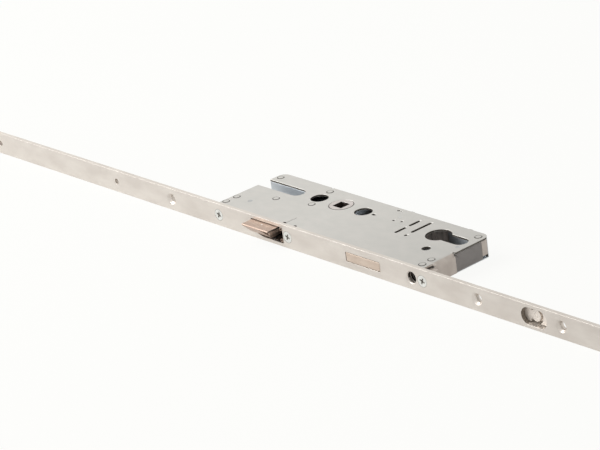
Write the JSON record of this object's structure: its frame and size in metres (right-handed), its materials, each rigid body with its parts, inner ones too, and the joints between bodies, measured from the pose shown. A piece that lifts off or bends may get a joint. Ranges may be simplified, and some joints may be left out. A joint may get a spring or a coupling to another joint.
{
  "type": "multipoint door lock",
  "caption": "Long slim faceplate with a flat lock case behind it: sprung latch bolt, deadbolt and drive rods, worked by a square spindle and a profile cylinder.",
  "frame": {"origin": "on the spindle axis, at half the thickness of the lock case", "axes": "+X along the faceplate towards the cylinder, which is down the door; +Y from the faceplate into the door; +Z through the case's thickness, out of its riveted cover"},
  "size_m": [0.69, 0.0715, 0.016],
  "materials": {
    "faceplate_metal": "warm silver coat, satin",
    "cover_steel": "bright zinc plate on pressed sheet",
    "panel_metal": "dark grey, matt",
    "rivet_steel": "plain bright",
    "screw_steel": "bright plated",
    "inner_steel": "plain",
    "rod_steel": "zinc plate",
    "latch_metal": "sintered, warm tint",
    "bolt_metal": "ground, warm tint",
    "follower_metal": "cast",
    "casting": "as cast",
    "guide_plastic": "moulded",
    "tumbler_brass": "stamped",
    "spring_steel": "drawn wire and strip"
  },
  "bodies": {
    "case": {"faceplate": "faceplate_metal", "case_tray": "cover_steel", "case_cover": "cover_steel", "case_pillars": "rivet_steel", "case_screws": "screw_steel", "end_panel": "panel_metal", "cover_studs": "rivet_steel", "rod_guide_studs": "rivet_steel", "latch_guide": "guide_plastic", "deadbolt_guide": "inner_steel", "guide_bracket": "inner_steel", "cam_guard": "casting", "coupling_guard": "guide_plastic", "tumbler_post": "rivet_steel", "follower_spring": "spring_steel", "latch_spring": "spring_steel", "tumbler_spring": "spring_steel"},
    "follower": {"follower": "follower_metal"},
    "latch": {"latch_bolt": "latch_metal", "latch_stem": "inner_steel", "latch_pin": "rivet_steel"},
    "deadbolt": {"deadbolt": "bolt_metal", "deadbolt_pin": "rivet_steel"},
    "drive": {"drive_slide": "rod_steel", "cam_block": "inner_steel", "slide_rivets": "rivet_steel", "upper_rod": "rod_steel", "lower_rod": "rod_steel", "extension_rod": "rod_steel", "coupling_plate": "inner_steel", "coupling_rivets": "rivet_steel"},
    "tumbler": {"tumbler_lever": "tumbler_brass"}
  },
  "joints": [
    {"name": "drive_slide", "type": "slide", "parent": "case", "child": "drive", "axis": [-1, 0, 0], "range_m": [0, 0.018]},
    {"name": "deadbolt_slide", "type": "slide", "parent": "case", "child": "deadbolt", "axis": [0, -1, 0], "range_m": [0, 0.02]},
    {"name": "follower_turn", "type": "hinge", "parent": "case", "child": "follower", "pos_m": [0, 0, 0], "axis": [0, 0, -1], "range_deg": [0, 45], "stiffness_Nm_per_rad": 0.5, "springref_deg": -17.19},
    {"name": "latch_slide", "type": "slide", "parent": "case", "child": "latch", "axis": [0, 1, 0], "range_m": [0, 0.01], "deforming": ["latch_spring"]},
    {"name": "tumbler_turn", "type": "hinge", "parent": "case", "child": "tumbler", "pos_m": [0.0497, 0.006, 0], "axis": [0, 0, -1], "range_deg": [0, 6], "stiffness_Nm_per_rad": 0.05, "springref_deg": -5.73}
  ],
  "couplings": [
    {"joint": "deadbolt_slide", "follows": "drive_slide", "ratio": 1.1111},
    {"joint": "follower_turn", "follows": "latch_slide", "rad_per_m": 78.54}
  ]
}
